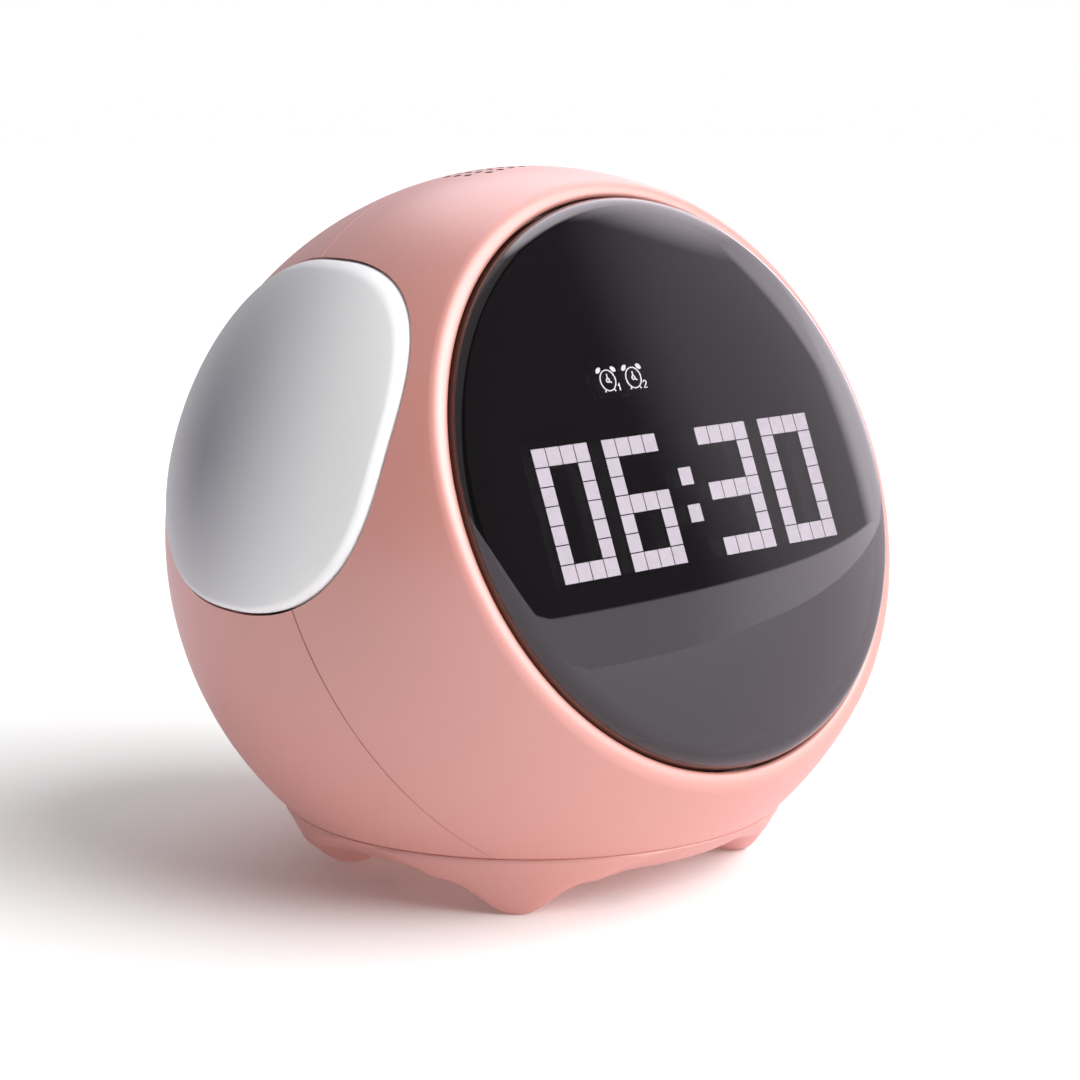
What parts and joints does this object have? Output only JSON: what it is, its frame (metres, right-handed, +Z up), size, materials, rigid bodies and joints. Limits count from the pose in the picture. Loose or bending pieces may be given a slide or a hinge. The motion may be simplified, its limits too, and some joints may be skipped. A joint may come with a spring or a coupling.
{
  "type": "kids alarm clock with night light",
  "caption": "Ball-shaped bedside alarm clock on four small feet, with a tilted round digital display under a smoked dome and a milky night-light ear on each side.",
  "frame": {"origin": "centre of the footprint box on the table", "axes": "+X across, to the right seen from the front; +Y to the back; +Z up; the display looks towards -Y and 21 degrees upwards"},
  "size_m": [0.1016, 0.0926, 0.095],
  "materials": {
    "shell_abs": "satin pink ABS",
    "smoked_lens": "polished smoked polycarbonate",
    "foam": "matt black foam",
    "black_abs": "fine black",
    "lit_film": "diffusing white film, lit",
    "circuit_board": "green solder mask",
    "led_white": "clear",
    "steel": "zinc plated",
    "white_abs": "fine matt",
    "white_board": "white solder mask",
    "cell_wrap": "shrink wrap",
    "speaker_paper": "pressed paper",
    "milky_ear": "milky translucent silicone-soft plastic",
    "button_abs": "fine matt",
    "red_lead": "smooth insulation",
    "grey_lead": "smooth insulation"
  },
  "bodies": {
    "clock": {"front_shell": "shell_abs", "rear_shell": "shell_abs", "base_plate": "shell_abs", "lens_dome": "smoked_lens", "lens_gasket": "foam", "display_mask": "black_abs", "pixel_grid": "black_abs", "digit_film": "lit_film", "icon_guide": "black_abs", "icon_film": "lit_film", "led_board": "circuit_board", "digit_leds": "led_white", "icon_leds": "led_white", "display_bracket": "black_abs", "bracket_screws": "steel", "main_board": "circuit_board", "main_chips": "black_abs", "board_connectors": "white_abs", "board_screws": "steel", "display_header": "black_abs", "battery_cell": "cell_wrap", "battery_cradle": "white_abs", "battery_strap": "black_abs", "cradle_screws": "steel", "battery_lead": "red_lead", "speaker_frame": "steel", "speaker_cone": "speaker_paper", "speaker_magnet": "steel", "speaker_gasket": "foam", "speaker_clamp": "white_abs", "speaker_screws": "steel", "speaker_lead": "red_lead", "left_light_carrier": "white_abs", "right_light_carrier": "white_abs", "left_light_board": "white_board", "right_light_board": "white_board", "night_leds": "led_white", "ear_switches": "black_abs", "carrier_screws": "steel", "light_board_screws": "steel", "light_leads": "grey_lead", "rear_panel": "shell_abs", "button_board": "circuit_board", "button_switches": "black_abs", "button_screws": "steel", "button_lead": "grey_lead", "usb_socket": "steel", "charge_board": "circuit_board", "charge_screws": "steel", "charge_lead": "red_lead", "base_screws": "steel"},
    "left_ear_body": {"left_ear": "milky_ear", "left_guide_screws": "steel"},
    "right_ear_body": {"right_ear": "milky_ear", "right_guide_screws": "steel"},
    "mode_button_body": {"mode_button": "button_abs"},
    "plus_button_body": {"plus_button": "button_abs"},
    "minus_button_body": {"minus_button": "button_abs"}
  },
  "joints": [
    {"name": "left_ear_press", "type": "slide", "parent": "clock", "child": "left_ear_body", "axis": [1, 0, 0], "range_m": [0, 0.001], "stiffness_N_per_m": 800},
    {"name": "right_ear_press", "type": "slide", "parent": "clock", "child": "right_ear_body", "axis": [-1, 0, 0], "range_m": [0, 0.001], "stiffness_N_per_m": 800},
    {"name": "mode_press", "type": "slide", "parent": "clock", "child": "mode_button_body", "axis": [0, -0.9703, -0.2419], "range_m": [0, 0.0008], "stiffness_N_per_m": 600},
    {"name": "plus_press", "type": "slide", "parent": "clock", "child": "plus_button_body", "axis": [0, -0.9703, -0.2419], "range_m": [0, 0.0008], "stiffness_N_per_m": 600},
    {"name": "minus_press", "type": "slide", "parent": "clock", "child": "minus_button_body", "axis": [0, -0.9703, -0.2419], "range_m": [0, 0.0008], "stiffness_N_per_m": 600}
  ]
}
